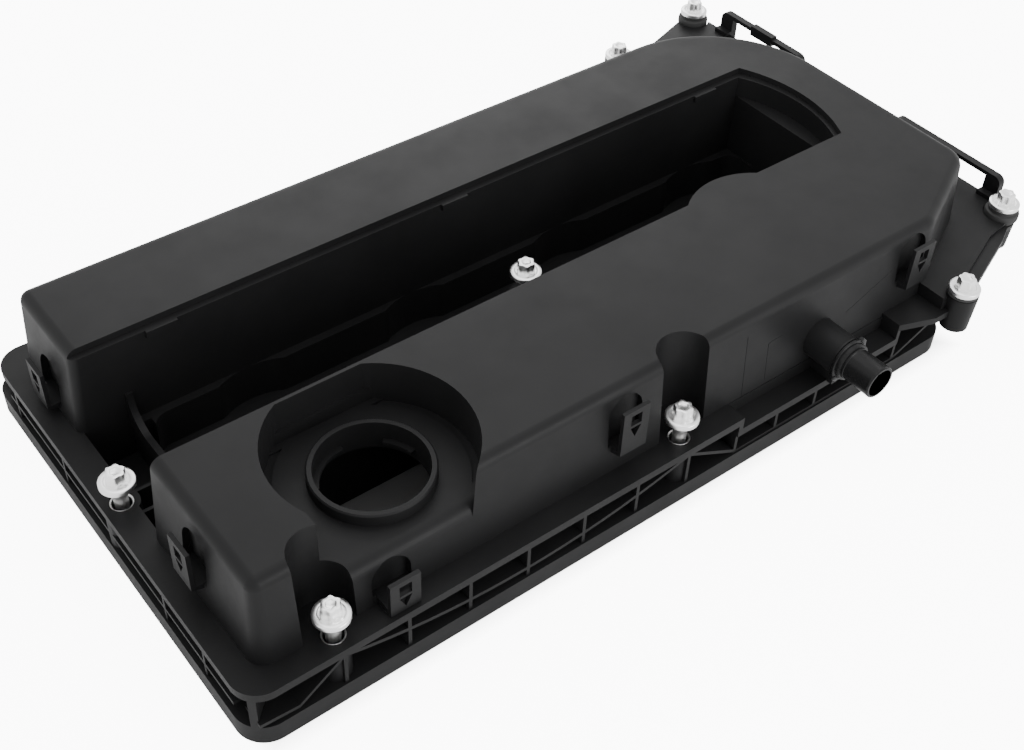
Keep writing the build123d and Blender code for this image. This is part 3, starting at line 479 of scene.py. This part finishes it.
POCKET_FLOOR = 0.0540
POCKET_FILLS = (
    ((-0.1739, -0.0928, 0.0526), (-0.1665, -0.0897, POCKET_FLOOR)),
    ((-0.1769, -0.0905, 0.0526), (-0.1665, -0.0812, POCKET_FLOOR)))
FLANGE_LEVEL = 0.0315
CORNER_PLACE = (-0.21319, 0.0383)
CORNER_TOP = 0.0712
CORNER_ROUND = 0.0040
CORNER_MARGIN = 0.001
BOX_DRAFT = 4.5


def same_level(piece, tool, height):
    """Bring a tool's points at a height to the very height of the piece's face there."""
    level = min((point.co.z for point in piece.data.vertices), key=lambda z: abs(z - height))
    for point in tool.data.vertices:
        if abs(point.co.z - height) < LEVEL_GAP:
            point.co.z = level


def level_pocket_floor(housing):
    """Let the pocket's floor run level from the pad to the bay of the near bolt."""
    for low, high in POCKET_FILLS:
        fill = add_block(low, high)
        same_level(housing, fill, POCKET_FLOOR)
        combine(housing, fill, "UNION")


def round_slot_corner(housing):
    """Round the upright corner where the near end turns into the slot's back wall."""
    x, y = CORNER_PLACE
    cutter = add_block(
        (x - CORNER_MARGIN, y - CORNER_MARGIN, FLANGE_LEVEL), (x + CORNER_ROUND, y + CORNER_ROUND, CORNER_TOP))
    drum = add_drum(CORNER_ROUND, FLANGE_LEVEL - CORNER_MARGIN, CORNER_TOP + CORNER_MARGIN, FINE_SIDES)
    drum.location = (x + CORNER_ROUND, y + CORNER_ROUND, 0.0)
    combine(cutter, drum)
    for point in cutter.data.vertices:
        point.co.x += (point.co.z - FLANGE_LEVEL) * tan(radians(BOX_DRAFT))
    same_level(housing, cutter, FLANGE_LEVEL)
    combine(housing, cutter)


# Lines that the mould leaves on the front wall

WALL_FOOT = 0.0275
WALL_FRONT = -0.1047
LINE_WIDTH = 0.0005
LINE_PROUD = 0.00014
LINE_RUNS = (
    ((0.0250, 0.0320), (0.0250, 0.0640)), ((0.0385, 0.0340), (0.0385, 0.0540)),
    ((0.0385, 0.0540), (0.0465, 0.0545)), ((0.0875, 0.0470), (0.1155, 0.0570)))


def mould_line(start, end):
    """Thin raised line on the drafted front wall, between two places of X and Z."""
    middle = ((start[0] + end[0]) / 2, (start[1] + end[1]) / 2)
    along = Vector((end[0] - start[0], end[1] - start[1]))
    draft = tan(radians(BOX_DRAFT))
    y = WALL_FRONT + (middle[1] - WALL_FOOT) * draft
    bpy.ops.object.select_all(action="DESELECT")
    bpy.ops.mesh.primitive_cube_add(
        size=1.0, location=(0.0, 0.0, 0.0), scale=(along.length, 2 * LINE_PROUD, LINE_WIDTH))
    line = bpy.context.object
    bpy.ops.object.transform_apply(location=True, rotation=True, scale=True)
    pick(line, "FACE", lambda centre, normal: normal.y < -0.9)
    bpy.ops.transform.resize(value=(1.0, 1.0, 0.5))
    close_edit()
    turn = atan2(along.y, along.x)
    for point in line.data.vertices:
        x, z = point.co.x, point.co.z
        point.co.x = middle[0] + x * cos(turn) - z * sin(turn)
        point.co.z = middle[1] + x * sin(turn) + z * cos(turn)
        point.co.y += y + (point.co.z - middle[1]) * draft
    return line


def draw_mould_lines():
    """All the lines on the front wall as one piece."""
    lines = [mould_line(*run) for run in LINE_RUNS]
    join_to(*lines)
    finish_piece(lines[0], "mould_lines", "cover", moulding, "moulding")


# Materials

def new_material(name):
    """Empty node material with its shader and output joined."""
    material = bpy.data.materials.new(name)
    material.use_nodes = True
    tree = material.node_tree
    tree.nodes.clear()
    output = tree.nodes.new("ShaderNodeOutputMaterial")
    shader = tree.nodes.new("ShaderNodeBsdfPrincipled")
    tree.links.new(shader.outputs["BSDF"], output.inputs["Surface"])
    place = tree.nodes.new("ShaderNodeTexCoord")
    return material, tree, shader, place.outputs["Object"]


def noise(tree, where, scale, detail=3.0, roughness=0.5):
    """Noise pattern read at a place."""
    pattern = tree.nodes.new("ShaderNodeTexNoise")
    pattern.inputs["Scale"].default_value = scale
    pattern.inputs["Detail"].default_value = detail
    pattern.inputs["Roughness"].default_value = roughness
    tree.links.new(where, pattern.inputs["Vector"])
    return pattern.outputs["Fac"]


def ramp(tree, value, stops):
    """Turn a value into colours or greys through stops of place and colour."""
    node = tree.nodes.new("ShaderNodeValToRGB")
    elements = node.color_ramp.elements
    for index, (place, colour) in enumerate(stops):
        element = elements[index] if index < 2 else elements.new(place)
        element.position = place
        element.color = (*colour, 1.0) if len(colour) == 3 else colour
    tree.links.new(value, node.inputs["Fac"])
    return node.outputs["Color"]


def grey(value):
    """Grey as a colour."""
    return (value, value, value)


def bump(tree, shader, height, strength, distance, before=None):
    """Raise the surface by a pattern."""
    node = tree.nodes.new("ShaderNodeBump")
    node.inputs["Strength"].default_value = strength
    node.inputs["Distance"].default_value = distance
    tree.links.new(height, node.inputs["Height"])
    if before is not None:
        tree.links.new(before, node.inputs["Normal"])
    tree.links.new(node.outputs["Normal"], shader.inputs["Normal"])
    return node.outputs["Normal"]


def drive(tree, shader, socket, pattern, first, second):
    """Let a pattern run a shader's socket between two stops of place and colour."""
    tree.links.new(ramp(tree, pattern, [first, second]), shader.inputs[socket])


PLASTIC_DARK = (0.0064, 0.0064, 0.0067)
PLASTIC_LIGHT = (0.0100, 0.0100, 0.0103)
PLASTIC_SHEEN = 0.135
RUBBER_SHEEN = 0.35
FINE_BUMP = 0.0001


def glass_filled_plastic(name, smoothest, roughest):
    """Black glass filled moulding: satin skin, faint flow clouds, fine grain."""
    material, tree, shader, place = new_material(name)
    flow = noise(tree, place, 14.0, 4.0, 0.6)
    drive(tree, shader, "Base Color", flow, (0.3, PLASTIC_DARK), (0.7, PLASTIC_LIGHT))
    cloud = noise(tree, place, 45.0, 5.0, 0.65)
    drive(tree, shader, "Roughness", cloud, (0.3, grey(smoothest)), (0.72, grey(roughest)))
    grain = noise(tree, place, 2600.0, 2.0, 0.6)
    grained = bump(tree, shader, grain, 0.18, FINE_BUMP)
    waves = noise(tree, place, 160.0, 3.0, 0.5)
    bump(tree, shader, waves, 0.05, 4 * FINE_BUMP, grained)
    shader.inputs["Specular IOR Level"].default_value = PLASTIC_SHEEN
    return material


def bright_zinc():
    """Zinc plated steel with fine turning marks and a few dull patches."""
    material, tree, shader, place = new_material("bright_zinc")
    shader.inputs["Metallic"].default_value = 1.0
    patches = noise(tree, place, 300.0, 4.0, 0.6)
    drive(tree, shader, "Base Color", patches, (0.3, (0.96, 0.96, 0.955)), (0.75, (0.995, 0.995, 0.99)))
    drive(tree, shader, "Roughness", patches, (0.25, grey(0.36)), (0.8, grey(0.28)))
    marks = noise(tree, place, 1500.0, 2.0, 0.5)
    bump(tree, shader, marks, 0.06, FINE_BUMP)
    return material


def rolled_steel():
    """Steel of the pressed in sleeves."""
    material, tree, shader, place = new_material("rolled_steel")
    shader.inputs["Metallic"].default_value = 1.0
    patches = noise(tree, place, 220.0, 4.0, 0.6)
    drive(tree, shader, "Base Color", patches, (0.3, (0.62, 0.62, 0.61)), (0.75, (0.82, 0.82, 0.81)))
    drive(tree, shader, "Roughness", patches, (0.25, grey(0.38)), (0.8, grey(0.24)))
    bump(tree, shader, patches, 0.1, FINE_BUMP)
    return material


def seal_rubber(name, dark, light):
    """Matte rubber with a powdery bloom."""
    material, tree, shader, place = new_material(name)
    bloom = noise(tree, place, 90.0, 5.0, 0.65)
    drive(tree, shader, "Base Color", bloom, (0.35, grey(dark)), (0.75, grey(light)))
    drive(tree, shader, "Roughness", bloom, (0.3, grey(0.62)), (0.7, grey(0.78)))
    skin = noise(tree, place, 1800.0, 2.0, 0.5)
    bump(tree, shader, skin, 0.2, FINE_BUMP)
    shader.inputs["Specular IOR Level"].default_value = RUBBER_SHEEN
    return material


def baffle_plastic():
    """Natural dark plastic of the welded baffles, rougher than the cover."""
    material, tree, shader, place = new_material("baffle_plastic")
    flow = noise(tree, place, 30.0, 4.0, 0.6)
    drive(tree, shader, "Base Color", flow, (0.3, grey(0.016)), (0.7, grey(0.026)))
    drive(tree, shader, "Roughness", flow, (0.3, grey(0.5)), (0.7, grey(0.62)))
    grain = noise(tree, place, 2200.0, 2.0, 0.6)
    bump(tree, shader, grain, 0.15, FINE_BUMP)
    return material


# Studio

PAPER_SIZE = 12.0
PAPER_LEVEL = -0.0002
PAPER_GLOW = 9.0
PAPER_WHITE = 0.94
# Dark grey painted on the paper under the cover as painted shade.
PAPER_SHADE = 0.2
PAPER_ROUGHNESS = 0.9
BORDER_SHARPNESS = 60.0
SHADE_BORDER = 0.45
FOOT_MIDDLE = (-0.0285, 0.0)
FOOT_HALF = (0.1765, 0.105)
SURROUND_STRENGTH = 1.6
WHITE = (1.0, 1.0, 1.0, 1.0)
ORIGIN = (0.0, 0.0, 0.0)
LOW_MIDDLE = (0.0, 0.0, 0.03)
LAMPS = (
    ("top_softbox", (0.1, 0.25, 1.6), ORIGIN, 1.2, 5.5),
    ("back_softbox", (0.9, 1.5, 0.9), ORIGIN, 1.2, 12.0),
    ("side_softbox", (-1.6, -0.3, 0.9), LOW_MIDDLE, 1.0, 0.6),
    ("front_softbox", (0.35, -1.3, 0.5), LOW_MIDDLE, 0.6, 9.0))


def calculate(tree, operation, first, second):
    """One sum in a material, from a value or a number."""
    node = tree.nodes.new("ShaderNodeMath")
    node.operation = operation
    for socket, value in zip(node.inputs, (first, second)):
        if isinstance(value, (int, float)):
            socket.default_value = value
        else:
            tree.links.new(value, socket)
    return node.outputs["Value"]


def clear_of_cover(tree, place):
    """Nought on the paper inside the foot of the cover and one round it, with a soft border."""
    split = tree.nodes.new("ShaderNodeSeparateXYZ")
    tree.links.new(place, split.inputs["Vector"])
    beyond = []
    for axis, middle, half in zip("XY", FOOT_MIDDLE, FOOT_HALF):
        distance = calculate(tree, "ABSOLUTE", calculate(tree, "SUBTRACT", split.outputs[axis], middle), 0.0)
        beyond.append(calculate(tree, "SUBTRACT", distance, half))
    border = calculate(tree, "MULTIPLY", calculate(tree, "MAXIMUM", *beyond), BORDER_SHARPNESS)
    return calculate(tree, "MINIMUM", calculate(tree, "MAXIMUM", border, 0.0), 1.0)


def paper_glow(tree, clear):
    """Glow that the camera alone sees on the clear paper."""
    path = tree.nodes.new("ShaderNodeLightPath")
    seen = calculate(tree, "MULTIPLY", clear, path.outputs["Is Camera Ray"])
    return calculate(tree, "MULTIPLY", seen, PAPER_GLOW)


def build_studio():
    """White floor with painted shade under the cover, white surroundings and four soft lights."""
    bpy.ops.object.select_all(action="DESELECT")
    bpy.ops.mesh.primitive_plane_add(size=PAPER_SIZE, location=(0.0, 0.0, PAPER_LEVEL))
    floor = bpy.context.object
    floor.name = "studio_floor"
    paper, tree, shader, place = new_material("white_paper")
    clear = clear_of_cover(tree, place)
    # Painted shade: the paper's colour turns dark grey inside the cover's foot, standing in for the shade under the
    # cover.
    drive(tree, shader, "Base Color", clear, (0.0, grey(PAPER_SHADE)), (SHADE_BORDER, grey(PAPER_WHITE)))
    shader.inputs["Roughness"].default_value = PAPER_ROUGHNESS
    shader.inputs["Emission Color"].default_value = WHITE
    tree.links.new(paper_glow(tree, clear), shader.inputs["Emission Strength"])
    floor.data.materials.append(paper)
    world = bpy.data.worlds.new("studio_world")
    world.use_nodes = True
    world.node_tree.nodes["Background"].inputs["Color"].default_value = WHITE
    world.node_tree.nodes["Background"].inputs["Strength"].default_value = SURROUND_STRENGTH
    bpy.context.scene.world = world
    for name, place, target, size, watts in LAMPS:
        bpy.ops.object.light_add(type="AREA", location=place)
        lamp = bpy.context.object
        lamp.name = name
        lamp.data.shape = "SQUARE"
        lamp.data.size = size
        lamp.data.energy = watts
        aim = Vector(target) - Vector(place)
        lamp.rotation_euler = aim.to_track_quat("-Z", "Y").to_euler()


# Assembly

place_camera()
build_studio()
moulding = glass_filled_plastic("glass_filled_plastic", 0.40, 0.52)
gloss_moulding = glass_filled_plastic("gloss_plastic", 0.22, 0.32)
zinc = bright_zinc()
sleeve_steel = rolled_steel()
rubber = seal_rubber("seal_rubber", 0.030, 0.045)
grommet_rubber = seal_rubber("grommet_rubber", 0.018, 0.028)
baffle_finish = baffle_plastic()

housing = joined_copy("cover_housing")
free_clips(housing)
level_pocket_floor(housing)
round_slot_corner(housing)
soften(housing, 0.0005)
finish_piece(housing, "housing_skin", "cover", moulding, "moulding", "cover_housing")
for node, edge, finish, slot_name in (
        ("rim_seal", 0.0008, rubber, "seal_rubber"), ("well_seal", 0.0006, rubber, "seal_rubber"),
        ("front_baffle", 0.0004, baffle_finish, "baffle_plastic"),
        ("back_baffle", 0.0004, baffle_finish, "baffle_plastic")):
    skin = soften(joined_copy(node), edge)
    finish_piece(skin, node + "_skin", "cover", finish, slot_name, node)
fit_fasteners()
hose_spigot()
draw_mould_lines()

bpy.context.view_layer.update()
